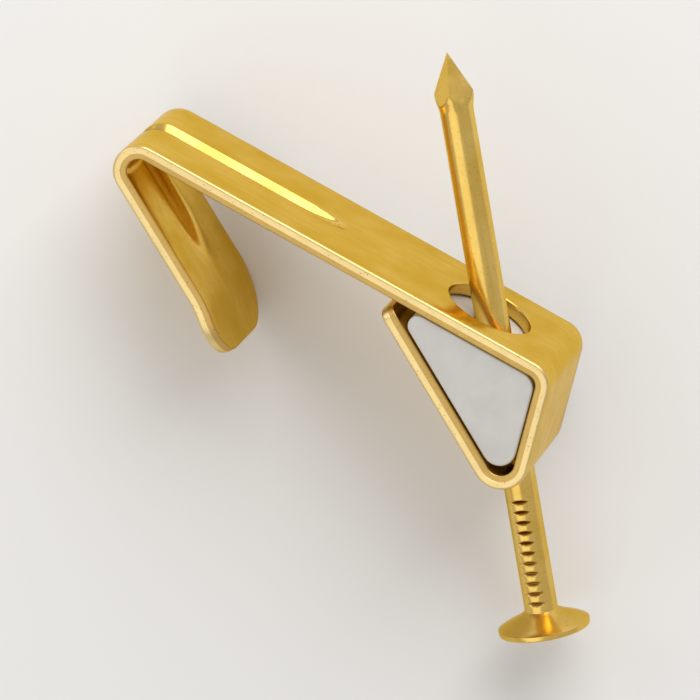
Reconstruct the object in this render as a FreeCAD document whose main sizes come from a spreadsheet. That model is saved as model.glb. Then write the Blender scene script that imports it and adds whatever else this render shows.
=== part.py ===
import FreeCAD, Part
import os
import re

import Sketcher

# Picture hook: a folded strip of plated steel, the nail that holds it, and the
# plastic insert that carries the nail at its driving angle.
# Millimetres. The wall is the plane y = 0, the hook is on its -Y side, and +Z is
# up the wall. The origin is where the nail's axis crosses the wall.

DOC = FreeCAD.newDocument("picture_hook")

SIZES = {
    "hanger_height": 30.5,      # top of the wall fold to the bottom of the hook
    "strip_width": 9.5,         # the strip is cut from 3/8 inch stock
    "sheet_thick": 0.9,
    "ledge_depth": 8.6,         # wall to the front fold
    "ledge_rise": 1.1,          # how much higher the front fold's top is than the wall fold's
    "loop_height": 11.6,        # top of the wall fold to the end of the free leg
    "leg_gap": 0.3,             # end of the free leg to the back strip
    "fold_back": 1.6,           # outer radius of the fold at the wall
    "fold_front": 1.8,          # outer radius of the fold at the front
    "hook_bend": 1.7,           # outer radius of the hook at the bottom
    "flange_lean": 31.5,        # front flange from the vertical, degrees
    "flange_rise": 11.2,        # bottom of the hook to the lip's outer corner
    "lip_turn": 12.0,           # extra outward turn of the lip, degrees
    "lip_length": 3.0,
    "lip_bend": 6.0,
    "tongue_flat": 4.1,         # straight part of the lip's end, between its rounded corners
    "leg_corner": 0.8,          # rounding of the free leg's two corners
    "bead_radius": 0.8,         # the round tool that presses the bead
    "bead_depth": 0.5,
    "bead_rise": 11.0,          # bottom of the hook to the bead's full depth, back
    "bead_front": 3.8,          # the same on the front flange
    "runout_radius": 12.0,      # the bead fades out along an arc of this radius
    "runout_turn": 19.0,        # and this many degrees
    "exit_below_top": 6.0,      # top of the wall fold to the nail's axis at the wall
    "wall_hole": 5.6,           # punched hole in the back strip, round the nail
    "fold_hole": 2.7,           # hole through the front fold
    "nail_slope": 36.0,         # nail below the horizontal, degrees
    "nail_length": 37.4,        # tip to the top of the head
    "nail_behind": 16.4,        # nail beyond the wall, along its axis
    "nail_thick": 2.1,
    "head_wide": 5.8,
    "head_rim": 0.4,
    "head_cone": 0.9,
    "swell_wide": 2.5,          # across the pinched corners of the point
    "point_length": 2.5,        # tip to the widest place of the point
    "point_fade": 1.3,          # from there back to the plain shank
    "facet_run": 3.75,          # tip to where the tool that presses a facet ends
    "facet_turn": 45.0,         # facets from the sides of the hook, degrees
    "grip_count": 11,
    "grip_pitch": 0.67,
    "grip_start": 1.9,          # top of the head to the first mark
    "grip_depth": 0.2,
    "insert_inset": 0.2,        # insert's ends to the strip's edges
    "insert_gap": 0.1,          # insert to the strip around it
    "insert_corner": 0.7,       # rounding of the insert's low corner
    "insert_shoulder": 1.1,     # rounding of its two upper corners
    "bore_gap": 0.05,           # insert's bore to the nail, each side
}

sheet = DOC.addObject("Spreadsheet::Sheet", "Sizes")
for row, (alias, value) in enumerate(SIZES.items(), start=1):
    sheet.set(f"A{row}", alias)
    sheet.set(f"B{row}", str(value))
    sheet.setAlias(f"B{row}", alias)
DOC.recompute()

SIDE_VIEW = FreeCAD.Rotation(FreeCAD.Vector(1, 1, 1), 120)
ACROSS = FreeCAD.Vector(1, 0, 0)
START, END, CENTRE = 1, 2, 3
ORIGIN = (-1, 1)
UPRIGHT_AXIS = -2
DEGREE = 3.141592653589793 / 180

TOP = "exit_below_top"
BOTTOM = "(exit_below_top - hanger_height)"

# the front fold's centre, from the wall and in height, and the foot of the free leg
FOLD_OUT = "(ledge_depth - fold_front)"
FOLD_UP = "(exit_below_top + ledge_rise - fold_front)"
LEG_FOOT = "(2 * sheet_thick + leg_gap)"

# the ledge climbs from the wall fold to the front fold at this angle
FOLDS_APART = f"({FOLD_OUT} - fold_back)"
FOLDS_CLIMB = "(ledge_rise - fold_front + fold_back)"
FOLDS_GROW = f"((fold_front - fold_back) / sqrt({FOLDS_APART} ^ 2 + {FOLDS_CLIMB} ^ 2))"
LEDGE_TILT = f"(atan({FOLDS_CLIMB} / {FOLDS_APART}) + asin({FOLDS_GROW}))"

# the bead's tool runs this far outside the sheet, and then fades out
TOOL_OUT = "(bead_radius - bead_depth)"
FADE_ALONG = "(runout_radius * sin(runout_turn))"
FADE_OUT = "(runout_radius * (1 - cos(runout_turn)))"

TONGUE_CORNER = "((strip_width - tongue_flat) / 2)"


def formula(text):
    """Turn each size named in the text into its cell."""
    return re.sub(r"[a-z_]+", lambda m: f"Sizes.{m[0]}" if m[0] in SIZES else m[0], text)


def value(text):
    """The number that a formula gives with the present sizes."""
    return float(sheet.evalExpression(formula(text)))


def bind(target, prop, text):
    target.setExpression(prop, formula(text))


def rule(sketch, kind, *places, to=None):
    """Add a constraint, bound to a formula where one is given."""
    if to is None:
        sketch.addConstraint(Sketcher.Constraint(kind, *places))
        return
    scale = DEGREE if kind == "Angle" else 1
    index = sketch.addConstraint(Sketcher.Constraint(kind, *places, value(to) * scale))
    bind(sketch, f"Constraints[{index}]", f"({to}) * 1 deg" if kind == "Angle" else to)


def place_point(sketch, across, up, *place):
    """Fix a point of the sketch by its two coordinates, given as formulas."""
    rule(sketch, "DistanceX", *ORIGIN, *place, to=across)
    rule(sketch, "DistanceY", *ORIGIN, *place, to=up)


def polygon(sketch, corners):
    """Add a closed outline through corners, each a pair of formulas."""
    first = sketch.GeometryCount
    spots = [FreeCAD.Vector(value(across), value(up), 0) for across, up in corners]
    sketch.addGeometry([Part.LineSegment(spots[i - 1], spots[i]) for i in range(len(spots))])
    for i, (across, up) in enumerate(corners):
        following = (i + 1) % len(corners)
        rule(sketch, "Coincident", first + i, END, first + following, START)
        place_point(sketch, across, up, first + i, END)


def arc(centre, radius, start, end):
    """An arc about a centre, counter-clockwise between two directions in degrees."""
    circle = Part.Circle(FreeCAD.Vector(*centre, 0), FreeCAD.Vector(0, 0, 1), radius)
    return Part.ArcOfCircle(circle, start * DEGREE, end * DEGREE)


def chain(sketch, pieces):
    """Join lines and arcs end to end; each piece is geometry and the end it starts from."""
    sketch.addGeometry([geometry for geometry, _ in pieces])
    for i in range(len(pieces) - 1):
        leaves = END if pieces[i][1] == START else START
        rule(sketch, "Tangent", i, leaves, i + 1, pieces[i + 1][1])


def line(start, end):
    return Part.LineSegment(FreeCAD.Vector(*start, 0), FreeCAD.Vector(*end, 0))


def side_sketch(name):
    """A sketch in the side view: its x is the frame's y, and its y is the frame's z."""
    sketch = DOC.addObject("Sketcher::SketchObject", name)
    sketch.Placement = FreeCAD.Placement(FreeCAD.Vector(), SIDE_VIEW)
    return sketch


def join(kind, name, base, tool):
    """A boolean of two objects: Part::Cut or Part::Fuse."""
    made = DOC.addObject(kind, name)
    made.Base = base
    made.Tool = tool
    return made


# Strip: the outer side of the folded sheet, from the free leg to the lip

def strip_outline():
    top, bottom = value(TOP), value(BOTTOM)
    front, back, hook, lip = (value(n) for n in ("fold_front", "fold_back", "hook_bend", "lip_bend"))
    out, foot, lean, turn = (value(n) for n in (FOLD_OUT, LEG_FOOT, "flange_lean", "lip_turn"))
    high, square = value(FOLD_UP), 90 - value(LEDGE_TILT)
    leg_end = (-foot, value("exit_below_top - loop_height"))
    tip = (-value("ledge_depth"), value(f"{BOTTOM} + flange_rise"))
    knee = (tip[0] + hook, tip[1] - hook)
    sketch = side_sketch("strip_outline")
    chain(sketch, [
        (line(leg_end, (-out - front, high)), START),
        (arc((-out, high), front, square, 180 + lean), END),
        (line((-out, high + front), (-back, top)), START),
        (arc((-back, top - back), back, 0, square), END),
        (line((0, top - back), (0, bottom + hook)), START),
        (arc((-hook, bottom + hook), hook, 180 + lean, 360), END),
        (line((-2 * hook, bottom + hook), knee), START),
        (arc((knee[0] - lip, knee[1]), lip, lean, lean + turn), START),
        (line(knee, tip), START),
    ])
    leg, fold, _, wall_fold, back_run, bend, flange, knee_arc, lip_run = range(9)
    place_point(sketch, f"-{LEG_FOOT}", "exit_below_top - loop_height", leg, START)
    rule(sketch, "Radius", fold, to="fold_front")
    place_point(sketch, f"-{FOLD_OUT}", FOLD_UP, fold, CENTRE)
    rule(sketch, "Radius", wall_fold, to="fold_back")
    rule(sketch, "DistanceY", *ORIGIN, wall_fold, CENTRE, to=f"{TOP} - fold_back")
    rule(sketch, "Vertical", back_run)
    rule(sketch, "PointOnObject", back_run, START, UPRIGHT_AXIS)
    rule(sketch, "Radius", bend, to="hook_bend")
    rule(sketch, "DistanceY", *ORIGIN, bend, CENTRE, to=f"{BOTTOM} + hook_bend")
    rule(sketch, "Angle", flange, to="90 + flange_lean")
    rule(sketch, "Radius", knee_arc, to="lip_bend")
    rule(sketch, "Angle", lip_run, to="90 + flange_lean + lip_turn")
    rule(sketch, "Distance", lip_run, to="lip_length")
    rule(sketch, "DistanceY", *ORIGIN, lip_run, END, to=f"{BOTTOM} + flange_rise")
    return sketch


def band(name, outline, thickness, width):
    """The solid between the outline and its offset, centred across the strip."""
    face = DOC.addObject("Part::Offset2D", f"{name}_section")
    face.Source = outline
    bind(face, "Value", thickness)
    face.Mode = "Skin"
    face.Fill = True
    solid = DOC.addObject("Part::Extrusion", name)
    solid.Base = face
    solid.DirMode = "Custom"
    solid.Dir = ACROSS
    solid.Solid = True
    solid.Symmetric = True
    bind(solid, "LengthFwd", width)
    return solid


def bead_line():
    """The line that the bead's round tool follows, outside the sheet."""
    bottom, aside = value(BOTTOM), value(TOOL_OUT)
    hook, lean, turn, fade = (value(n) for n in ("hook_bend", "flange_lean", "runout_turn", "runout_radius"))
    start = (aside, value(f"{BOTTOM} + bead_rise"))
    stop = (-2.5 * hook, value(f"{BOTTOM} + bead_front"))
    sketch = side_sketch("bead_line")
    chain(sketch, [
        (arc((aside + fade, start[1]), fade, 180 - turn, 180), START),
        (line(start, (aside, bottom + hook)), START),
        (arc((-hook, bottom + hook), hook + aside, 180 + lean, 360), END),
        (line((-2 * hook, bottom + hook), stop), START),
        (arc((stop[0] - fade, stop[1]), fade, lean, lean + turn), START),
    ])
    back_fade, back_run, bend, front_run, front_fade = range(5)
    rule(sketch, "Vertical", back_run)
    place_point(sketch, TOOL_OUT, f"{BOTTOM} + bead_rise", back_run, START)
    place_point(sketch, f"{TOOL_OUT} + {FADE_OUT}", f"{BOTTOM} + bead_rise + {FADE_ALONG}", back_fade, START)
    rule(sketch, "Radius", bend, to=f"hook_bend + {TOOL_OUT}")
    rule(sketch, "DistanceY", *ORIGIN, bend, CENTRE, to=f"{BOTTOM} + hook_bend")
    rule(sketch, "Angle", front_run, to="90 + flange_lean")
    rule(sketch, "DistanceY", *ORIGIN, front_run, END, to=f"{BOTTOM} + bead_front")
    rule(sketch, "Radius", front_fade, to="runout_radius")
    rise = f"{FADE_ALONG} * cos(flange_lean) - {FADE_OUT} * sin(flange_lean)"
    rule(sketch, "DistanceY", front_run, END, front_fade, END, to=rise)
    return sketch


def round_bar(name, route, radius):
    """A round bar along the route."""
    section = DOC.addObject("Sketcher::SketchObject", f"{name}_section")
    section.AttachmentSupport = [(route, "Edge1")]
    section.MapMode = "NormalToEdge"
    section.addGeometry(Part.Circle(FreeCAD.Vector(), FreeCAD.Vector(0, 0, 1), value(radius)))
    rule(section, "Coincident", 0, CENTRE, *ORIGIN)
    rule(section, "Radius", 0, to=radius)
    bar = DOC.addObject("Part::Sweep", name)
    bar.Sections = [section]
    bar.Spine = (route, [f"Edge{i + 1}" for i in range(route.GeometryCount)])
    bar.Solid = True
    return bar


def punch(name, diameter, length):
    """A round punch."""
    tool = DOC.addObject("Part::Cylinder", name)
    bind(tool, "Radius", f"{diameter} / 2")
    bind(tool, "Height", length)
    return tool


def aim(tool, lift, across, up):
    """Turn a punch from upright towards the front by a lift formula, and move its base."""
    tool.Placement = FreeCAD.Placement(FreeCAD.Vector(), FreeCAD.Rotation(ACROSS, value(f"90 - ({lift})")))
    bind(tool, "Placement.Rotation.Angle", f"(90 - ({lift})) * 1 deg")
    bind(tool, "Placement.Base.y", across)
    bind(tool, "Placement.Base.z", up)


def rounded_ends(blank):
    """Round the corners of the lip and of the free leg, seen flat."""
    DOC.recompute()
    half, thick = value("strip_width / 2"), value("sheet_thick")
    middle = value(f"({TOP} - loop_height + {BOTTOM} + flange_rise) / 2")
    corners = []
    for number, edge in enumerate(blank.Shape.Edges, start=1):
        spot = edge.CenterOfMass
        straight = isinstance(edge.Curve, Part.Line)
        if straight and abs(abs(spot.x) - half) < 0.01 and abs(edge.Length - thick) < 0.001:
            radius = TONGUE_CORNER if spot.z < middle else "leg_corner"
            corners.append((number, value(radius), value(radius)))
    made = DOC.addObject("Part::Fillet", "strip_rounded")
    made.Base = blank
    made.Edges = corners
    return made


def make_strip():
    outline = strip_outline()
    blank = band("strip_blank", outline, "sheet_thick", "strip_width")
    outside = band("outside", outline, "-2 * (bead_radius + sheet_thick)", "3 * (bead_radius + sheet_thick)")
    route = bead_line()
    ridge = join("Part::Cut", "ridge", round_bar("ridge_bar", route, "bead_radius + sheet_thick"), outside)
    ridged = join("Part::Fuse", "strip_ridged", rounded_ends(blank), ridge)
    pressed = join("Part::Cut", "strip_pressed", ridged, round_bar("bead_bar", route, "bead_radius"))
    wall_punch = punch("wall_punch", "wall_hole", "3 * sheet_thick")
    aim(wall_punch, "0", "sheet_thick", "0")
    holed = join("Part::Cut", "strip_holed", pressed, wall_punch)
    fold_punch = punch("fold_punch", "fold_hole", "1.5 * ledge_depth")
    aim(fold_punch, "nail_slope", "-ledge_depth / 2", "ledge_depth / 2 * tan(nail_slope)")
    return join("Part::Cut", "hanger_strip", holed, fold_punch)


# Nail: turned shank and head, pressed point and grip marks, in its own frame along Z

TIP = "(0 - nail_behind)"
CROWN = "(nail_length - nail_behind)"
SHOULDER = "(nail_length - nail_behind - head_rim)"
THROAT = "(nail_length - nail_behind - head_rim - head_cone)"


def body_sketch(body, name, plane):
    sketch = body.newObject("Sketcher::SketchObject", name)
    support = [feature for feature in body.Origin.OriginFeatures if feature.Role == plane]
    sketch.AttachmentSupport = [(support[0], "")]
    sketch.MapMode = "FlatFace"
    return sketch


def cut_through(body, name, sketch):
    cut = body.newObject("PartDesign::Pocket", name)
    cut.Profile = sketch
    cut.Type = "ThroughAll"
    cut.Midplane = True
    return cut


def make_nail():
    body = DOC.addObject("PartDesign::Body", "nail")
    half_section = body_sketch(body, "nail_section", "XZ_Plane")
    polygon(half_section, [
        ("0", TIP),
        ("swell_wide / 2", TIP),
        ("swell_wide / 2", f"{TIP} + point_length"),
        ("nail_thick / 2", f"{TIP} + point_length + point_fade"),
        ("nail_thick / 2", THROAT),
        ("head_wide / 2", SHOULDER),
        ("head_wide / 2", CROWN),
        ("0", CROWN),
    ])
    turned = body.newObject("PartDesign::Revolution", "nail_turned")
    turned.Profile = half_section
    turned.ReferenceAxis = (half_section, ["V_Axis"])
    turned.Angle = 360

    facet_section = body_sketch(body, "facet_section", "XZ_Plane")
    polygon(facet_section, [
        ("0", TIP),
        ("swell_wide / sqrt(8) * facet_run / point_length", f"{TIP} + facet_run"),
        ("swell_wide", f"{TIP} + facet_run"),
        ("swell_wide", TIP),
    ])
    facet_section.AttachmentOffset.Rotation = FreeCAD.Rotation(FreeCAD.Vector(0, 1, 0), value("facet_turn"))
    bind(facet_section, "AttachmentOffset.Rotation.Angle", "facet_turn * 1 deg")
    facet = cut_through(body, "facet", facet_section)
    DOC.recompute()
    point = body.newObject("PartDesign::PolarPattern", "point")
    point.Originals = [facet]
    point.Axis = (facet_section, ["V_Axis"])
    point.Angle = 360
    point.Occurrences = 4
    body.Tip = point

    grip_section = body_sketch(body, "grip_section", "XZ_Plane")
    first = f"{CROWN} - grip_start"
    for side in ("", "-"):
        polygon(grip_section, [
            (f"{side}(nail_thick / 2 - grip_depth)", first),
            (f"{side}(nail_thick / 2 + grip_depth)", f"{first} + grip_pitch / 2"),
            (f"{side}(nail_thick / 2 + grip_depth)", f"{first} - grip_pitch / 2"),
        ])
    mark = cut_through(body, "grip_mark", grip_section)
    DOC.recompute()
    grips = body.newObject("PartDesign::LinearPattern", "grip_marks")
    grips.Originals = [mark]
    grips.Direction = (grip_section, ["V_Axis"])
    grips.Reversed = True
    bind(grips, "Length", "(grip_count - 1) * grip_pitch")
    bind(grips, "Occurrences", "grip_count")
    body.Tip = grips

    aim(body, "nail_slope", "0", "0")
    return body


# Insert: a moulded wedge that fills the loop, with the nail's bore

SNUG = "(sheet_thick + insert_gap)"
TO_LEG = "(fold_front - sheet_thick - insert_gap)"
LEG_DROP = "(loop_height + ledge_rise - fold_front)"
LEG_RUN = "(ledge_depth - fold_front - 2 * sheet_thick - leg_gap)"
LEG_LEAN = f"(atan({LEG_RUN} / {LEG_DROP}) + asin(fold_front / sqrt({LEG_RUN} ^ 2 + {LEG_DROP} ^ 2)))"


def round_corners(body, solid, name, radius, upper):
    """Round the wedge's edges that run across the strip, above or below the nail's exit."""
    DOC.recompute()
    sharp = [f"Edge{n}" for n, edge in enumerate(solid.Shape.Edges, start=1)
             if abs(edge.tangentAt(edge.FirstParameter).x) > 0.99
             and (edge.CenterOfMass.z > 0) == upper]
    eased = body.newObject("PartDesign::Fillet", name)
    eased.Base = (solid, sharp)
    bind(eased, "Radius", radius)
    DOC.recompute()


def make_insert():
    body = DOC.addObject("PartDesign::Body", "nail_insert")
    wedge_section = body_sketch(body, "wedge_section", "YZ_Plane")
    span = f"({FOLD_OUT} - {SNUG})"
    tip = f"{TO_LEG} / cos({LEDGE_TILT} + {LEG_LEAN})"
    polygon(wedge_section, [
        (f"-{SNUG}", f"{FOLD_UP} + ({TO_LEG} - sin({LEDGE_TILT}) * {span}) / cos({LEDGE_TILT})"),
        (f"-{FOLD_OUT} - {tip} * (sin({LEG_LEAN}) + cos({LEDGE_TILT}))",
         f"{FOLD_UP} + {tip} * (sin({LEDGE_TILT}) + cos({LEG_LEAN}))"),
        (f"-{SNUG}", f"{FOLD_UP} - ({TO_LEG} + cos({LEG_LEAN}) * {span}) / sin({LEG_LEAN})"),
    ])
    wedge = body.newObject("PartDesign::Pad", "wedge")
    wedge.Profile = wedge_section
    wedge.Midplane = True
    bind(wedge, "Length", "strip_width - 2 * insert_inset")
    round_corners(body, wedge, "upper_corners", "insert_shoulder", upper=True)
    round_corners(body, body.Tip, "low_corner", "insert_corner", upper=False)
    bore = body.newObject("PartDesign::SubtractiveCylinder", "nail_bore")
    bind(bore, "Radius", "nail_thick / 2 + bore_gap")
    bind(bore, "Height", "nail_thick + 2 * ledge_depth")
    aim(bore, "nail_slope", "nail_thick * cos(nail_slope)", "-nail_thick * sin(nail_slope)")
    return body


pieces = [make_strip(), make_nail(), make_insert()]
DOC.recompute()

for made in DOC.Objects:
    if "Invalid" in made.State or "Error" in made.State:
        raise RuntimeError(f"{made.Name} was not made: {made.State}")

os.makedirs("parts", exist_ok=True)
for piece in pieces:
    piece.Label = piece.Name
    shape = piece.Shape
    if shape.isNull() or not shape.isValid():
        raise RuntimeError(f"{piece.Label} has no sound shape")
    shape.exportStep(f"parts/{piece.Label}.step")
    box = shape.BoundBox
    print(piece.Label, len(shape.Solids), "solid", round(shape.Volume, 2), "mm3",
          [round(v, 2) for v in (box.XMin, box.XMax, box.YMin, box.YMax, box.ZMin, box.ZMax)])
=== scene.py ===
"""A picture hook of folded, brass-plated strip with its nail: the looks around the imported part.

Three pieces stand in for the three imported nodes, with the fine shape that those leave out: broken
edges, the soft shoulders of the bead, the nail's ribbed grip and its waffled head.
Sizes are in millimetres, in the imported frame: the origin is where the nail's axis meets the wall,
+Y goes into the wall and +Z up it. UV maps are in millimetres too, across and along each piece.
"""

import math

import bmesh
import bpy
from mathutils import Matrix, Vector


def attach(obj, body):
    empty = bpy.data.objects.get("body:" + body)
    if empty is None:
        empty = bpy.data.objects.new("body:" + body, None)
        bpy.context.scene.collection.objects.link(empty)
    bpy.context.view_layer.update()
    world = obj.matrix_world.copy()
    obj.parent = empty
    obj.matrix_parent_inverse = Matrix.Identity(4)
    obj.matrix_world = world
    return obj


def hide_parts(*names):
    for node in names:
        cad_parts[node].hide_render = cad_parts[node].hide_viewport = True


MM = 0.001

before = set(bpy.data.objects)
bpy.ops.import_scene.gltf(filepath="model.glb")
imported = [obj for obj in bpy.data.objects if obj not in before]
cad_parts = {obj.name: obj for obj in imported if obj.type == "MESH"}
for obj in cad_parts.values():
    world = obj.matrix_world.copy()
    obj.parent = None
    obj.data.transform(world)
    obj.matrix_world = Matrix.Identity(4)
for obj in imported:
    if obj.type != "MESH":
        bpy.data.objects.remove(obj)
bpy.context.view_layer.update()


# Sizes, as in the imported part

SHEET = 0.9
STRIP_WIDTH = 9.5
TOP = 6.0                           # top of the wall fold
HEIGHT = 30.5                       # from there to the bottom of the hook
LEDGE_DEPTH = 8.6
LEDGE_RISE = 1.1                    # how much higher the front fold's top is
LOOP_HEIGHT = 11.6
LEG_FOOT = 2.1                      # wall to the end of the free leg
FOLD_BACK = 1.6                     # outer radii of the folds at the wall and at the front,
FOLD_FRONT = 1.8                    # and of the bend at the bottom of the hook
HOOK_BEND = 1.7
FLANGE_LEAN = math.radians(31.5)
FLANGE_RISE = 11.2                  # bottom of the hook to the lip's outer corner
LIP_TURN = math.radians(12.0)
LIP_LENGTH = 3.0
LIP_BEND = 6.0
TONGUE_CORNER = 2.7                 # rounding of the lip's corners in the flat strip,
LEG_CORNER = 0.8                    # and of the free leg's

BEAD_RADIUS = 0.8
BEAD_DEPTH = 0.5
BEAD_RISE = 11.0                    # bottom of the hook to the bead's full depth, back
BEAD_FRONT = 3.8                    # the same on the front flange
BEAD_RUNOUT = 12.0                  # radius of the arc along which the bead fades out

WALL_HOLE = 5.6
FOLD_HOLE = 2.7

NAIL_SLOPE = math.radians(36.0)
NAIL_RADIUS = 1.05
NAIL_TIP = -16.4                    # along the nail, from the wall
NAIL_CROWN = 21.0
SWELL_RADIUS = 1.25                 # widest place of the point
POINT_LENGTH = 2.5                  # tip to that place
POINT_FADE = 1.3                    # from there back to the plain shank
HEAD_RADIUS = 2.9
HEAD_RIM = 0.4
HEAD_CONE = 0.9
GRIP_COUNT = 11
GRIP_PITCH = 0.67
GRIP_START = 1.9
GRIP_DEPTH = 0.2

INSERT_HALF = 4.55
INSERT_GAP = 0.1
INSERT_CORNER = 0.7
INSERT_SHOULDER = 1.1
BORE_RADIUS = 1.1


# Mesh helpers

SHARP_ANGLE = math.radians(32)
LATHE_SIDES = 72


def piece(name, mesh, material, node):
    """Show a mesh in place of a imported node."""
    mesh.materials.clear()
    mesh.materials.append(material)
    mesh.shade_smooth()
    mesh.set_sharp_from_angle(angle=SHARP_ANGLE)
    shown = bpy.data.objects.new(name, mesh)
    bpy.context.scene.collection.objects.link(shown)
    steady = shown.modifiers.new("even_normals", "WEIGHTED_NORMAL")
    steady.keep_sharp = True
    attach(shown, "root")
    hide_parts(node)
    return shown


def closed_mesh(name, points, faces, uvs, marks=None):
    """A mesh from points in millimetres, with a uv pair for each point, facing outward.

    The marks are lists of a value from 0 to 1 for each point, by the name that the materials use.
    """
    mesh = bpy.data.meshes.new(name)
    mesh.from_pydata([Vector(p) * MM for p in points], [], faces)
    layer = mesh.uv_layers.new(name="millimetres")
    for loop in mesh.loops:
        layer.data[loop.index].uv = uvs[loop.vertex_index]
    for mark, values in (marks or {}).items():
        mesh.attributes.new(mark, "FLOAT", "POINT").data.foreach_set("value", values)
    work = bmesh.new()
    work.from_mesh(mesh)
    bmesh.ops.recalc_face_normals(work, faces=work.faces)
    work.to_mesh(mesh)
    work.free()
    return mesh


def lathe(name, profile, place):
    """A solid turned about its own Z from (radius, height) pairs, then placed by a matrix."""
    points, faces = [], []
    count = LATHE_SIDES
    for radius, height in profile:
        for k in range(count):
            a = math.tau * k / count
            points.append(place @ Vector((radius * math.cos(a), radius * math.sin(a), height)))
    for ring in range(len(profile) - 1):
        for k in range(count):
            here, there = ring * count, (ring + 1) * count
            following = (k + 1) % count
            faces.append((here + k, here + following, there + following, there + k))
    last = (len(profile) - 1) * count
    faces.append(tuple(range(count)))
    faces.append(tuple(range(last, last + count)))
    return closed_mesh(name, points, faces, [(0.0, 0.0)] * len(points))


def cut_out(mesh, tools):
    """The mesh with each tool mesh taken out of it."""
    body = bpy.data.objects.new("body", mesh)
    bpy.context.scene.collection.objects.link(body)
    helpers = [body]
    for tool in tools:
        helper = bpy.data.objects.new("tool", tool)
        bpy.context.scene.collection.objects.link(helper)
        helpers.append(helper)
        cut = body.modifiers.new("cut", "BOOLEAN")
        cut.operation = "DIFFERENCE"
        cut.solver = "EXACT"
        cut.object = helper
    bpy.context.view_layer.update()
    shaped = body.evaluated_get(bpy.context.evaluated_depsgraph_get())
    result = bpy.data.meshes.new_from_object(shaped)
    for helper in helpers:
        bpy.data.objects.remove(helper)
    return result


def soft_rise(amount, softness):
    """The amount where it is positive and nothing where it isn't, with a rounded turn between."""
    return 0.5 * (amount + math.hypot(amount, softness))


def spread(start, end, count):
    """Evenly spaced values from start to end, both included."""
    return [start + (end - start) * k / (count - 1) for k in range(count)]


# The folded strip: its outer line is walked from the free leg, over the ledge and down the wall

leg_run = LEDGE_DEPTH - FOLD_FRONT - LEG_FOOT
leg_drop = LOOP_HEIGHT + LEDGE_RISE - FOLD_FRONT
leg_reach = math.hypot(leg_run, leg_drop)
leg_lean = math.atan2(leg_run, leg_drop) + math.asin(FOLD_FRONT / leg_reach)
folds_apart = LEDGE_DEPTH - FOLD_FRONT - FOLD_BACK
folds_climb = LEDGE_RISE - FOLD_FRONT + FOLD_BACK
folds_reach = math.hypot(folds_apart, folds_climb)
ledge_tilt = math.atan2(folds_climb, folds_apart) + math.asin((FOLD_FRONT - FOLD_BACK) / folds_reach)
ledge_length = math.sqrt(folds_reach ** 2 - (FOLD_FRONT - FOLD_BACK) ** 2)
lip_lean = FLANGE_LEAN + LIP_TURN
bend_rise = HOOK_BEND * (1 - math.sin(FLANGE_LEAN))
knee_rise = LIP_BEND * (math.sin(lip_lean) - math.sin(FLANGE_LEAN))
lip_rise = LIP_LENGTH * math.cos(lip_lean)
flange_length = (FLANGE_RISE - bend_rise - knee_rise - lip_rise) / math.cos(FLANGE_LEAN)

QUARTER = math.pi / 2
front_turn = QUARTER + leg_lean + ledge_tilt
wall_turn = QUARTER - ledge_tilt
bend_turn = math.pi - FLANGE_LEAN

# how far apart the rows across the strip lie
LOOP_STEP = 0.5
FOLD_STEP = 0.12
BACK_STEP = 0.45
BEND_STEP = 0.14
FLANGE_STEP = 0.4
LIP_STEP = 0.3

# each run is its length, how far it turns (clockwise is below zero) and its step
STRIP_RUNS = [
    (math.sqrt(leg_reach ** 2 - FOLD_FRONT ** 2), 0.0, LOOP_STEP),
    (FOLD_FRONT * front_turn, -front_turn, FOLD_STEP),
    (ledge_length, 0.0, LOOP_STEP),
    (FOLD_BACK * wall_turn, -wall_turn, FOLD_STEP),
    (HEIGHT - FOLD_BACK - HOOK_BEND, 0.0, BACK_STEP),
    (HOOK_BEND * bend_turn, -bend_turn, BEND_STEP),
    (flange_length, 0.0, FLANGE_STEP),
    (LIP_BEND * LIP_TURN, LIP_TURN, LIP_STEP),
    (LIP_LENGTH, 0.0, LIP_STEP),
]
STRIP_LENGTH = sum(run[0] for run in STRIP_RUNS)


def strip_spot(along):
    """Place (y, z) on the strip's outer line and the direction of the line there."""
    y, z, heading = -LEG_FOOT, TOP - LOOP_HEIGHT, QUARTER + leg_lean
    left = along
    for length, turn, _ in STRIP_RUNS:
        step = min(left, length)
        if turn:
            radius = length / turn
            now = heading + step / radius
            y += radius * (math.sin(now) - math.sin(heading))
            z -= radius * (math.cos(now) - math.cos(heading))
            heading = now
        else:
            y += step * math.cos(heading)
            z += step * math.sin(heading)
        left -= step
        if left <= 0:
            break
    return y, z, heading


BACK_RUN, FLANGE_RUN = 4, 6
back_start = sum(run[0] for run in STRIP_RUNS[:BACK_RUN])
flange_start = sum(run[0] for run in STRIP_RUNS[:FLANGE_RUN])
bead_top = back_start + HEIGHT - FOLD_BACK - BEAD_RISE
bead_end = flange_start + (BEAD_FRONT - bend_rise) / math.cos(FLANGE_LEAN)


def bead_lift(along):
    """How far the bead's round tool has drawn away from the sheet."""
    beyond = max(bead_top - along, along - bead_end, 0.0)
    return BEAD_RUNOUT - math.sqrt(max(BEAD_RUNOUT ** 2 - beyond ** 2, 0.0))


# how softly the bead turns out of the sheet, outside and inside, and how far that reaches
GROOVE_SHOULDER = 0.07
RIDGE_SHOULDER = 0.16
SHOULDER_REACH = 4


def bead_depth(along, across, outside):
    """How far the bead pushes one side of the sheet inward."""
    radius = BEAD_RADIUS if outside else BEAD_RADIUS + SHEET
    shoulder = GROOVE_SHOULDER if outside else RIDGE_SHOULDER
    if abs(across) >= radius:
        return 0.0
    bite = math.sqrt(radius ** 2 - across ** 2) - (radius - BEAD_DEPTH) - bead_lift(along)
    return soft_rise(bite, shoulder) if bite > -SHOULDER_REACH * shoulder else 0.0


STRIP_EDGE = 0.17                   # rounding of the strip's edges
EDGE_STEPS = 4
# the cut edge is smooth where the shear went through it, and torn and drawn in below that
SHEARED_DEPTH = 0.50
TORN_START = 0.02
TORN_SLANT = 0.06
TORN_CORNER = 0.10
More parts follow.
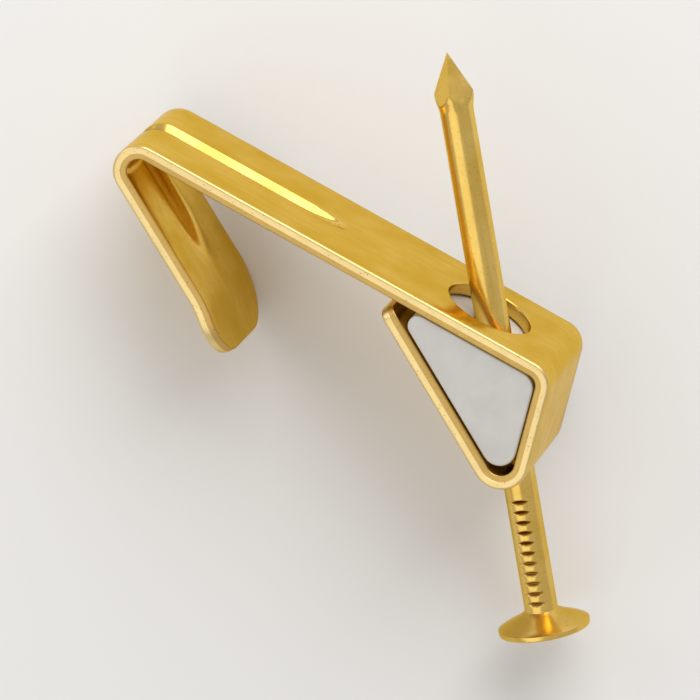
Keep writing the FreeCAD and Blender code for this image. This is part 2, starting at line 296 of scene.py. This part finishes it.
# rows over the rounded corners at the two ends
LEG_FAN = 7
LIP_FAN = 16


def strip_rows(inset):
    """Rows across the flat blank: distance along it and half width, for an outline drawn in by inset."""
    rows = []
    for k in range(LEG_FAN):
        a = QUARTER * k / LEG_FAN
        rows.append((LEG_CORNER - (LEG_CORNER - inset) * math.cos(a),
                     STRIP_WIDTH / 2 - LEG_CORNER + (LEG_CORNER - inset) * math.sin(a)))
    start = 0.0
    for length, _, step in STRIP_RUNS:
        count = max(2, round(length / step))
        for k in range(count):
            along = start + length * k / count
            if LEG_CORNER <= along < STRIP_LENGTH - TONGUE_CORNER:
                rows.append((along, STRIP_WIDTH / 2 - inset))
        start += length
    for k in range(LIP_FAN + 1):
        a = QUARTER * k / LIP_FAN
        rows.append((STRIP_LENGTH - TONGUE_CORNER + (TONGUE_CORNER - inset) * math.sin(a),
                     STRIP_WIDTH / 2 - TONGUE_CORNER + (TONGUE_CORNER - inset) * math.cos(a)))
    return rows


# where the points of a row lie, as shares of its half width: close together over the bead
BEAD_SHARE = 0.30
BEAD_COLUMNS = 29
PLAIN_COLUMNS = 6
side_columns = spread(BEAD_SHARE, 1.0, PLAIN_COLUMNS)[1:]
bead_columns = spread(-BEAD_SHARE, BEAD_SHARE, BEAD_COLUMNS)
COLUMNS = [-c for c in reversed(side_columns)] + bead_columns + side_columns


def strip_mesh():
    points, uvs, cuts, tears, faces = [], [], [], [], []

    def put(along, across, depth, cut=0.0, torn=0.0):
        y, z, heading = strip_spot(along)
        points.append((across, y + depth * math.sin(heading), z - depth * math.cos(heading)))
        uvs.append((across + depth, along))
        cuts.append(cut)
        tears.append(torn)
        return len(points) - 1

    def grid(outside):
        base = 0.0 if outside else SHEET
        return [[put(along, half * u, base + bead_depth(along, half * u, outside)) for u in COLUMNS]
                for along, half in strip_rows(STRIP_EDGE)]

    def rim(rows):
        """The border of a grid, once round."""
        last = len(COLUMNS) - 1
        return (rows[0][:-1] + [row[last] for row in rows[:-1]]
                + rows[-1][:0:-1] + [row[0] for row in rows[:0:-1]])

    def ring(inset, depth, torn=0.0):
        rows = [[(along, half * u) for u in COLUMNS] for along, half in strip_rows(inset)]
        # cut is highest on the cut face and fades over the roundings: it makes the edges rougher and
        # carries their painted highlight
        return [put(along, across, depth, 1.0 - inset / STRIP_EDGE, torn) for along, across in rim(rows)]

    outer, inner = grid(True), grid(False)
    rings = [rim(outer)]
    for k in range(1, EDGE_STEPS + 1):
        a = QUARTER * k / EDGE_STEPS
        rings.append(ring(STRIP_EDGE * (1 - math.sin(a)), STRIP_EDGE * (1 - math.cos(a))))
    rings.append(ring(0.0, SHEARED_DEPTH))
    rings.append(ring(TORN_START, SHEARED_DEPTH + TORN_START, 1.0))
    for k in range(EDGE_STEPS, 0, -1):
        a = QUARTER * k / EDGE_STEPS
        inset = TORN_SLANT + (STRIP_EDGE - TORN_SLANT) * (1 - math.sin(a))
        rings.append(ring(inset, SHEET - TORN_CORNER * (1 - math.cos(a)), 1.0))
    rings.append(rim(inner))
    for rows in (outer, inner):
        for above, below in zip(rows, rows[1:]):
            faces += [(above[k], above[k + 1], below[k + 1], below[k]) for k in range(len(COLUMNS) - 1)]
    for above, below in zip(rings, rings[1:]):
        faces += [(above[k - 1], above[k], below[k], below[k - 1]) for k in range(len(above))]
    return closed_mesh("hanger_strip", points, faces, uvs, {"cut": cuts, "torn": tears})


# the nail and the punches are made along their own Z, then turned along the nail or out of the wall
NAIL_AXIS = Vector((0, -math.cos(NAIL_SLOPE), math.sin(NAIL_SLOPE)))
NAIL_SIDE = NAIL_AXIS.cross(Vector((1, 0, 0)))
NAIL_PLACE = Matrix((Vector((1, 0, 0)), NAIL_SIDE, NAIL_AXIS)).transposed()
WALL_PLACE = Matrix.Rotation(QUARTER, 3, "X")

HOLE_EDGE = 0.15
HOLE_CLEAR = 0.6


def wall_tool():
    """The punch through the back strip, flared where it breaks the edges of the hole."""
    hole = WALL_HOLE / 2
    flare = [(hole + HOLE_EDGE * (1 - math.sin(a)), HOLE_EDGE * (1 - math.cos(a)))
             for a in spread(0.0, QUARTER, EDGE_STEPS + 1)]
    profile = [(hole + HOLE_EDGE, -HOLE_CLEAR)] + flare
    profile += [(radius, SHEET - height) for radius, height in reversed(flare)]
    profile.append((hole + HOLE_EDGE, SHEET + HOLE_CLEAR))
    return lathe("wall_tool", profile, WALL_PLACE)


def fold_tool():
    """The punch along the nail through the front fold."""
    start = LEDGE_DEPTH / 2 / math.cos(NAIL_SLOPE)
    return lathe("fold_tool", [(FOLD_HOLE / 2, start), (FOLD_HOLE / 2, start + LEDGE_DEPTH)], NAIL_PLACE)


# The nail, ring by ring from its tip

FACETS = 4
FACET_SOFT = 0.018
TIP_SOFT = 0.05                     # the facets' softness at the tip, as a share of the way from it
GRIP_SOFT = 0.02
GRIP_SHADE = 1.8                    # how much sooner the painted shade in the grip marks is full than the marks are deep
GRIP_SIDE = 0.5                     # cosine of the angle that the grip marks stay within
GROOVE_SHARE = 0.25                 # half a mark's width, as a share of the pitch
NAIL_SIDES = 112
WAFFLE_PITCH = 0.78
WAFFLE_DEPTH = 0.10
WAFFLE_RADIUS = 2.45
WAFFLE_BORDER = 0.12
WAFFLE_LINE = 0.35                  # where the lines' sides lie on the wave that makes them,
WAFFLE_SLOPE = 1.3                  # and how steep they are
# how dark the painted shade in the hollows of the head's waffle gets
WAFFLE_SHADE = 0.7
RIM_EDGE = 0.10
RIM_UNDER = 0.6                     # the rim's lower rounding is this much flatter
CONE_CURVE = 1.25                   # how hollow the cone under the head is
THROAT = NAIL_CROWN - HEAD_RIM - HEAD_CONE
GRIP_LOW = NAIL_CROWN - GRIP_START - GRIP_COUNT * GRIP_PITCH

# how the rings are spread: over the point, the plain shank, each grip mark, the cone and the face
POINT_RINGS = 44
SHANK_RINGS = 26
MARK_RINGS = 12
CONE_RINGS = 7
FACE_RINGS = 46
FIRST_RING = 0.05                   # above the tip
LAST_RING = 0.06                    # radius of the last ring, in the middle of the face


def facet_distance(beyond):
    """A facet's distance from the axis, this far from the tip."""
    return SWELL_RADIUS * math.cos(math.pi / FACETS) * beyond / POINT_LENGTH


def shank_radius(height):
    """The nail's radius without its facets and grip marks."""
    beyond = height - NAIL_TIP
    if beyond < POINT_LENGTH:
        return SWELL_RADIUS
    if beyond < POINT_LENGTH + POINT_FADE:
        share = (beyond - POINT_LENGTH) / POINT_FADE
        return SWELL_RADIUS + (NAIL_RADIUS - SWELL_RADIUS) * (3 - 2 * share) * share ** 2
    return NAIL_RADIUS


def grip_distance(height):
    """Distance from the axis to the ribbed flats that the gripping dies leave on two sides."""
    from_first = (NAIL_CROWN - GRIP_START - height) / GRIP_PITCH
    nearest = min(max(round(from_first), 0), GRIP_COUNT - 1)
    off = abs(from_first - nearest) / GROOVE_SHARE
    return NAIL_RADIUS - GRIP_DEPTH + GRIP_DEPTH * off


def nail_radius(height, angle):
    """The nail's radius; the angle is from its side that faces +X."""
    radius = shank_radius(height)
    beyond = height - NAIL_TIP
    if beyond < POINT_LENGTH + POINT_FADE:
        step = math.tau / FACETS
        from_facet = (angle % step) - step / 2
        flat = facet_distance(beyond) / math.cos(from_facet)
        return radius - soft_rise(radius - flat, min(FACET_SOFT, beyond * TIP_SOFT))
    side = abs(math.cos(angle))
    if GRIP_LOW < height < THROAT and side > GRIP_SIDE:
        return radius - soft_rise(radius - grip_distance(height) / side, GRIP_SOFT)
    return radius


def waffle(x, y):
    """How far the chequered face of the head lies below its rim."""
    edge = min(max((WAFFLE_RADIUS - math.hypot(x, y)) / WAFFLE_BORDER, 0.0), 1.0)
    lines = max(math.cos(math.tau * x / WAFFLE_PITCH), math.cos(math.tau * y / WAFFLE_PITCH))
    return WAFFLE_DEPTH * edge * min(max(0.5 + WAFFLE_SLOPE * (WAFFLE_LINE - lines), 0.0), 1.0)


def nail_mesh():
    points, uvs, painted_groove_shades, faces, rings = [], [], [], [], []

    def put(x, y, height, u, painted_groove_shade=0.0):
        points.append(NAIL_PLACE @ Vector((x, y, height)))
        uvs.append((u, height))
        painted_groove_shades.append(painted_groove_shade)
        return len(points) - 1

    def ring(height, radius):
        """A ring of points; the radius is a function of the angle."""
        made = []
        for k in range(NAIL_SIDES):
            a = math.tau * k / NAIL_SIDES
            r = radius(a)
            # painted shade in the grip marks, darker as the mark deepens
            sunk = 0.0
            if GRIP_LOW < height < THROAT:
                sunk = min(GRIP_SHADE * (NAIL_RADIUS - r) / GRIP_DEPTH, 1.0)
            round_way = abs(a - math.pi) * NAIL_RADIUS
            made.append(put(r * math.cos(a), r * math.sin(a), height, round_way, sunk))
        rings.append(made)

    point_end = NAIL_TIP + POINT_LENGTH + POINT_FADE
    heights = spread(NAIL_TIP + FIRST_RING, point_end, POINT_RINGS)
    heights += spread(point_end, GRIP_LOW, SHANK_RINGS)[1:]
    heights += spread(GRIP_LOW, THROAT, round((THROAT - GRIP_LOW) / GRIP_PITCH * MARK_RINGS))[1:]
    for height in heights:
        ring(height, lambda a, h=height: nail_radius(h, a))
    for share in spread(0.0, 1.0, CONE_RINGS)[1:-1]:
        widened = NAIL_RADIUS + (HEAD_RADIUS - NAIL_RADIUS) * share ** CONE_CURVE
        ring(THROAT + HEAD_CONE * share, lambda _, r=widened: r)
    for a in spread(0.0, QUARTER, EDGE_STEPS + 1):
        under = HEAD_RADIUS - RIM_EDGE * (1 - math.sin(a))
        ring(NAIL_CROWN - HEAD_RIM + RIM_EDGE * math.sin(a) * RIM_UNDER, lambda _, r=under: r)
    for a in spread(0.0, QUARTER, EDGE_STEPS + 1):
        over = HEAD_RADIUS - RIM_EDGE * (1 - math.cos(a))
        ring(NAIL_CROWN - RIM_EDGE * (1 - math.sin(a)), lambda _, r=over: r)
    for radius in spread(HEAD_RADIUS - RIM_EDGE, LAST_RING, FACE_RINGS)[1:]:
        made = []
        for k in range(NAIL_SIDES):
            a = math.tau * k / NAIL_SIDES
            x, y = radius * math.cos(a), radius * math.sin(a)
            sunk = waffle(x, y)
            # the waffle's hollows get painted shade, darker where they are deeper
            made.append(put(x, y, NAIL_CROWN - sunk, x, WAFFLE_SHADE * sunk / WAFFLE_DEPTH))
        rings.append(made)
    for above, below in zip(rings, rings[1:]):
        faces += [(above[k - 1], above[k], below[k], below[k - 1]) for k in range(NAIL_SIDES)]
    for rim, height in ((rings[0], NAIL_TIP), (rings[-1], NAIL_CROWN - waffle(0.0, 0.0))):
        middle = put(0.0, 0.0, height, 0.0)
        faces += [(rim[k - 1], rim[k], middle) for k in range(NAIL_SIDES)]
    return closed_mesh("nail", points, faces, uvs, {"painted_groove_shade": painted_groove_shades})


# The insert: a rounded wedge in the loop, bored for the nail

INSERT_EDGE = 0.14
CORNER_STEPS = 9


def wedge_corners():
    """The wedge's three corners in the side view, (y, z), before rounding, each with its radius."""
    snug = SHEET + INSERT_GAP
    to_leg = FOLD_FRONT - snug
    span = LEDGE_DEPTH - FOLD_FRONT - snug
    fold_out, fold_up = LEDGE_DEPTH - FOLD_FRONT, TOP + LEDGE_RISE - FOLD_FRONT
    tip = to_leg / math.cos(ledge_tilt + leg_lean)
    wall = (-snug, fold_up + (to_leg - math.sin(ledge_tilt) * span) / math.cos(ledge_tilt))
    front = (-fold_out - tip * (math.sin(leg_lean) + math.cos(ledge_tilt)),
             fold_up + tip * (math.sin(ledge_tilt) + math.cos(leg_lean)))
    low = (-snug, fold_up - (to_leg + math.cos(leg_lean) * span) / math.sin(leg_lean))
    return [
        (Vector(wall), INSERT_SHOULDER),
        (Vector(front), INSERT_SHOULDER),
        (Vector(low), INSERT_CORNER),
    ]


def rounded_outline(corners, inset):
    """Points once round the corners, drawn in by inset, each corner an arc."""
    outline = []
    for k, (corner, rounding) in enumerate(corners):
        radius = rounding - inset
        before = (corners[k - 1][0] - corner).normalized()
        after = (corners[(k + 1) % len(corners)][0] - corner).normalized()
        middle = (before + after).normalized()
        half = before.angle(after) / 2
        centre = corner + middle * (inset + radius) / math.sin(half)
        start = math.atan2(-middle.y, -middle.x)
        turn = QUARTER - half
        sense = 1 if before.cross(after) < 0 else -1
        for a in spread(-turn, turn, CORNER_STEPS):
            at = start + sense * a
            outline.append(centre + Vector((math.cos(at), math.sin(at))) * radius)
    return outline


def insert_mesh():
    points, uvs, faces, rings = [], [], [], []
    corners = wedge_corners()

    def ring(x, inset):
        made = []
        for spot in rounded_outline(corners, inset):
            points.append((x, spot.x, spot.y))
            uvs.append((spot.x, spot.y))
            made.append(len(points) - 1)
        rings.append(made)

    for a in spread(QUARTER, 0.0, EDGE_STEPS + 1):
        ring(-INSERT_HALF + INSERT_EDGE * (1 - math.sin(a)), INSERT_EDGE * (1 - math.cos(a)))
    for a in spread(0.0, QUARTER, EDGE_STEPS + 1):
        ring(INSERT_HALF - INSERT_EDGE * (1 - math.sin(a)), INSERT_EDGE * (1 - math.cos(a)))
    for above, below in zip(rings, rings[1:]):
        faces += [(above[k - 1], above[k], below[k], below[k - 1]) for k in range(len(above))]
    faces += [tuple(rings[0]), tuple(rings[-1])]
    bore_ends = [(BORE_RADIUS, -2 * BORE_RADIUS), (BORE_RADIUS, 2 * LEDGE_DEPTH)]
    bore = lathe("bore_tool", bore_ends, NAIL_PLACE)
    return cut_out(closed_mesh("nail_insert", points, faces, uvs), [bore])


# Materials

class Paint:
    """A material with its main shader, and short calls for the nodes that feed it."""

    def __init__(self, name):
        self.material = bpy.data.materials.new(name)
        self.material.use_nodes = True
        self.tree = self.material.node_tree
        self.surface = self.tree.nodes["Principled BSDF"]
        self.place = self.add("ShaderNodeTexCoord").outputs

    def add(self, kind, **settings):
        node = self.tree.nodes.new(kind)
        for name, value in settings.items():
            setattr(node, name, value)
        return node

    def link(self, source, target):
        self.tree.links.new(source, target)

    def noise(self, scale, detail=3.0, stretch=(1, 1, 1), space="Object"):
        """Noise with this many grains to a millimetre, stretched along the axes of its space."""
        unit = 1.0 if space == "UV" else 1.0 / MM
        mapping = self.add("ShaderNodeMapping")
        mapping.inputs["Scale"].default_value = [unit / s for s in stretch]
        texture = self.add("ShaderNodeTexNoise")
        texture.inputs["Scale"].default_value = scale
        texture.inputs["Detail"].default_value = detail
        self.link(self.place[space], mapping.inputs["Vector"])
        self.link(mapping.outputs["Vector"], texture.inputs["Vector"])
        return texture.outputs["Fac"]

    def between(self, fac, low, high, start=0.35, end=0.65):
        """Turn a factor's run from start to end into a value from low to high."""
        span = self.add("ShaderNodeMapRange")
        for name, value in (("From Min", start), ("From Max", end), ("To Min", low), ("To Max", high)):
            span.inputs[name].default_value = value
        self.link(fac, span.inputs["Value"])
        return span.outputs["Result"]

    def mark(self, name, share):
        """A value that the mesh holds for each point, as this share of it."""
        scale = self.add("ShaderNodeMath", operation="MULTIPLY")
        self.link(self.add("ShaderNodeAttribute", attribute_name=name).outputs["Fac"], scale.inputs[0])
        scale.inputs[1].default_value = share
        return scale.outputs["Value"]

    def added(self, first, second):
        """The sum of two values."""
        total = self.add("ShaderNodeMath", operation="ADD")
        self.link(first, total.inputs[0])
        self.link(second, total.inputs[1])
        return total.outputs["Value"]

    def blend(self, fac, first, second):
        """From the first colour to the second; each is three numbers or a socket."""
        mix = self.add("ShaderNodeMix", data_type="RGBA")
        self.link(fac, mix.inputs["Factor"])
        for name, colour in (("A", first), ("B", second)):
            socket = [s for s in mix.inputs if s.name == name and s.type == "RGBA"][0]
            if isinstance(colour, tuple):
                socket.default_value = (*colour, 1.0)
            else:
                self.link(colour, socket)
        return [s for s in mix.outputs if s.type == "RGBA"][0]

    def bump(self, layers):
        """Bump from (height, depth in millimetres) layers, on the main shader."""
        normal = None
        for height, depth in layers:
            node = self.add("ShaderNodeBump")
            node.inputs["Distance"].default_value = depth * MM
            node.inputs["Strength"].default_value = 1.0
            self.link(height, node.inputs["Height"])
            if normal:
                self.link(normal, node.inputs["Normal"])
            normal = node.outputs["Normal"]
        self.link(normal, self.surface.inputs["Normal"])


PALE_BRASS = (0.83, 0.56, 0.15)
DEEP_BRASS = (0.72, 0.45, 0.075)
PALE_NAIL = (0.84, 0.58, 0.17)
DEEP_NAIL = (0.73, 0.47, 0.09)
# paler brass for the cut edges: a painted highlight where the edges catch the light
CUT_EDGE_HIGHLIGHT = (0.82, 0.65, 0.33)
CUT_HIGHLIGHT_SHARE = 0.75
CUT_DULLER = 0.12
TORN_BRASS = (0.56, 0.35, 0.09)
TORN_SHARE = 0.8
TORN_DULLER = 0.10
# dark brown for the small pits, and for painted shade in the nail's grip marks and its head's waffle
GROOVE_SHADE_AND_PIT_BRASS = (0.24, 0.12, 0.03)
GROOVE_SHADE_SHARE = 1.0
GRAZING_BRASS = (0.96, 0.84, 0.44)

# drawing lines and streaks run along the piece, this many times longer than wide
LINE_STRETCH = (1, 60, 1)
STREAK_STRETCH = (1, 25, 1)

# depths of the bump, in millimetres
DENT_DEPTH = 0.02
DRAWN_DEPTH = 0.0025
SPECK_DEPTH = 0.0012


def brass(name, pale, deep, smooth, rough):
    """Bright plated steel with drawing lines along it, faint dents, dull patches and small pits, painted
    shade in the nail's grip marks and waffled head, and a painted highlight on the cut edges.
    """
    paint = Paint(name)
    paint.surface.inputs["Metallic"].default_value = 1.0
    paint.surface.inputs["Specular Tint"].default_value = (*GRAZING_BRASS, 1.0)
    lines = paint.noise(scale=9.0, detail=3.0, stretch=LINE_STRETCH, space="UV")
    streaks = paint.noise(scale=2.5, detail=4.0, stretch=STREAK_STRETCH, space="UV")
    dents = paint.noise(scale=0.14, detail=1.0)
    specks = paint.noise(scale=9.0, detail=1.0)
    patches = paint.noise(scale=0.35, detail=4.0)
    tone = paint.blend(paint.between(patches, 0.0, 1.0), pale, deep)
    tone = paint.blend(paint.between(streaks, 0.0, 0.7, start=0.45, end=0.75), tone, deep)
    # painted highlight: the cut edges made paler
    tone = paint.blend(paint.mark("cut", CUT_HIGHLIGHT_SHARE), tone, CUT_EDGE_HIGHLIGHT)
    tone = paint.blend(paint.mark("torn", TORN_SHARE), tone, TORN_BRASS)
    tone = paint.blend(paint.between(specks, 0.0, 0.75, start=0.68, end=0.76), tone, GROOVE_SHADE_AND_PIT_BRASS)
    # painted shade in the grip marks and in the hollows of the head's waffle
    tone = paint.blend(paint.mark("painted_groove_shade", GROOVE_SHADE_SHARE), tone, GROOVE_SHADE_AND_PIT_BRASS)
    paint.link(tone, paint.surface.inputs["Base Color"])
    handled = paint.noise(scale=0.9, detail=5.0)
    dull = paint.between(handled, smooth, rough, start=0.3, end=0.75)
    duller = paint.added(paint.mark("cut", CUT_DULLER), paint.mark("torn", TORN_DULLER))
    paint.link(paint.added(dull, duller), paint.surface.inputs["Roughness"])
    paint.bump([
        (dents, DENT_DEPTH),
        (streaks, DRAWN_DEPTH),
        (lines, DRAWN_DEPTH),
        (specks, SPECK_DEPTH),
    ])
    return paint.material


WHITE_PLASTIC = (0.70, 0.68, 0.635)
CLOUDY_PLASTIC = (0.65, 0.625, 0.58)
PLASTIC_SMOOTH = 0.36
PLASTIC_ROUGH = 0.50
WAVE_DEPTH = 0.02
GRAIN_DEPTH = 0.0025


def plastic(name):
    """Moulded plastic, faintly clouded, with a slight wave and grain."""
    paint = Paint(name)
    cloud = paint.between(paint.noise(scale=0.5, detail=3.0), 0.0, 1.0)
    paint.link(paint.blend(cloud, WHITE_PLASTIC, CLOUDY_PLASTIC), paint.surface.inputs["Base Color"])
    dull = paint.between(paint.noise(scale=2.0, detail=4.0), PLASTIC_SMOOTH, PLASTIC_ROUGH)
    paint.link(dull, paint.surface.inputs["Roughness"])
    paint.bump([
        (paint.noise(scale=0.8, detail=2.0), WAVE_DEPTH),
        (paint.noise(scale=9.0, detail=3.0), GRAIN_DEPTH),
    ])
    return paint.material


# The pieces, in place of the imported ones

strip_shape = cut_out(strip_mesh(), [wall_tool(), fold_tool()])
strip_brass = brass("strip_brass", PALE_BRASS, DEEP_BRASS, smooth=0.14, rough=0.27)
nail_brass = brass("nail_brass", PALE_NAIL, DEEP_NAIL, smooth=0.17, rough=0.30)
strip = piece("strip", strip_shape, strip_brass, "hanger_strip")
nail = piece("wire_nail", nail_mesh(), nail_brass, "nail")
insert = piece("insert", insert_mesh(), plastic("insert_plastic"), "nail_insert")


# Camera, at the photograph's angle

TARGET = Vector((-1.8, -6.3, -6.4)) * MM
AZIMUTH, ELEVATION, ROLL = (math.radians(a) for a in (248.4, 5.2, 119.2))
DISTANCE = 0.42
SEEN_WIDTH = 43.5 * MM
SENSOR = 36.0
CLIP_START = 0.01

level = math.cos(ELEVATION)
back = Vector((math.sin(AZIMUTH) * level, -math.cos(AZIMUTH) * level, math.sin(ELEVATION)))
level_up = (Vector((0, 0, 1)) - back * back.z).normalized()
level_right = level_up.cross(back)
right = level_right * math.cos(ROLL) + level_up * math.sin(ROLL)
up = level_up * math.cos(ROLL) - level_right * math.sin(ROLL)
camera_data = bpy.data.cameras.new("camera")
camera_data.sensor_width = SENSOR
camera_data.lens = SENSOR * DISTANCE / SEEN_WIDTH
camera_data.clip_start = CLIP_START
camera = bpy.data.objects.new("camera", camera_data)
turned = Matrix((right, up, back)).transposed().to_4x4()
camera.matrix_world = Matrix.Translation(TARGET + back * DISTANCE) @ turned
bpy.context.scene.collection.objects.link(camera)
bpy.context.scene.camera = camera


# Floor and light

FLOOR_COLOUR = (0.88, 0.87, 0.85, 1.0)
FLOOR_ROUGH = 0.9
FLOOR_SHINE = 0.1
FLOOR_HALF = 0.6
FLOOR_GAP = 0.2 * MM


def floor_material():
    """Pale, and clear from behind, so that the part shows from every side."""
    paint = Paint("pale_floor")
    paint.surface.inputs["Base Color"].default_value = FLOOR_COLOUR
    paint.surface.inputs["Roughness"].default_value = FLOOR_ROUGH
    paint.surface.inputs["Specular IOR Level"].default_value = FLOOR_SHINE
    mix = paint.add("ShaderNodeMixShader")
    paint.link(paint.add("ShaderNodeNewGeometry").outputs["Backfacing"], mix.inputs["Fac"])
    paint.link(paint.surface.outputs["BSDF"], mix.inputs[1])
    paint.link(paint.add("ShaderNodeBsdfTransparent").outputs["BSDF"], mix.inputs[2])
    paint.link(mix.outputs["Shader"], paint.tree.nodes["Material Output"].inputs["Surface"])
    return paint.material


# the floor faces the camera, just behind the farthest point of the part
shown_pieces = (strip, nail, insert)
reach = min(vertex.co.dot(back) for shown in shown_pieces for vertex in shown.data.vertices)
floor_middle = TARGET + back * (reach - FLOOR_GAP - TARGET.dot(back))
floor_mesh = bpy.data.meshes.new("floor")
floor_sides = ((-1, -1), (1, -1), (1, 1), (-1, 1))
floor_corners = [floor_middle + (right * x + up * y) * FLOOR_HALF for x, y in floor_sides]
floor_mesh.from_pydata(floor_corners, [], [(0, 1, 2, 3)])
floor_mesh.materials.append(floor_material())
floor = bpy.data.objects.new("floor", floor_mesh)
bpy.context.scene.collection.objects.link(floor)

ROOM_COLOUR = (0.94, 0.93, 0.92, 1.0)
ROOM_LIGHT = 0.50
ROOM_SEEN = 0.64

world = bpy.data.worlds.new("soft_room")
world.use_nodes = True
room = world.node_tree
background = room.nodes["Background"]
background.inputs["Color"].default_value = ROOM_COLOUR
# the camera and the metal see the room paler than it lights
rays = room.nodes.new("ShaderNodeLightPath").outputs
seen = rays["Is Camera Ray"]
for kind in ("Is Glossy Ray", "Is Transmission Ray"):
    either = room.nodes.new("ShaderNodeMath")
    either.operation = "MAXIMUM"
    room.links.new(seen, either.inputs[0])
    room.links.new(rays[kind], either.inputs[1])
    seen = either.outputs["Value"]
strength = room.nodes.new("ShaderNodeMapRange")
strength.inputs["To Min"].default_value = ROOM_LIGHT
strength.inputs["To Max"].default_value = ROOM_SEEN
room.links.new(seen, strength.inputs["Value"])
room.links.new(strength.outputs["Result"], background.inputs["Strength"])
bpy.context.scene.world = world
bpy.context.scene.view_settings.view_transform = "Standard"

# the lamps, in metres and watts
LAMP_DISTANCE = 0.30


def lamp(name, toward, size, power):
    """A square soft lamp; its direction is right, up and towards the camera in the picture."""
    data = bpy.data.lights.new(name, "AREA")
    data.size = size
    data.energy = power
    way = (right * toward[0] + up * toward[1] + back * toward[2]).normalized()
    held = bpy.data.objects.new(name, data)
    facing = way.to_track_quat("Z", "Y").to_matrix().to_4x4()
    held.matrix_world = Matrix.Translation(TARGET + way * LAMP_DISTANCE) @ facing
    bpy.context.scene.collection.objects.link(held)


lamp("key_lamp", toward=(0.30, 0.9, 0.75), size=0.28, power=0.64)
lamp("fill_lamp", toward=(-0.9, 0.4, 0.6), size=0.18, power=0.10)
lamp("edge_lamp", toward=(-0.47, -0.52, 0.72), size=0.27, power=0.15)
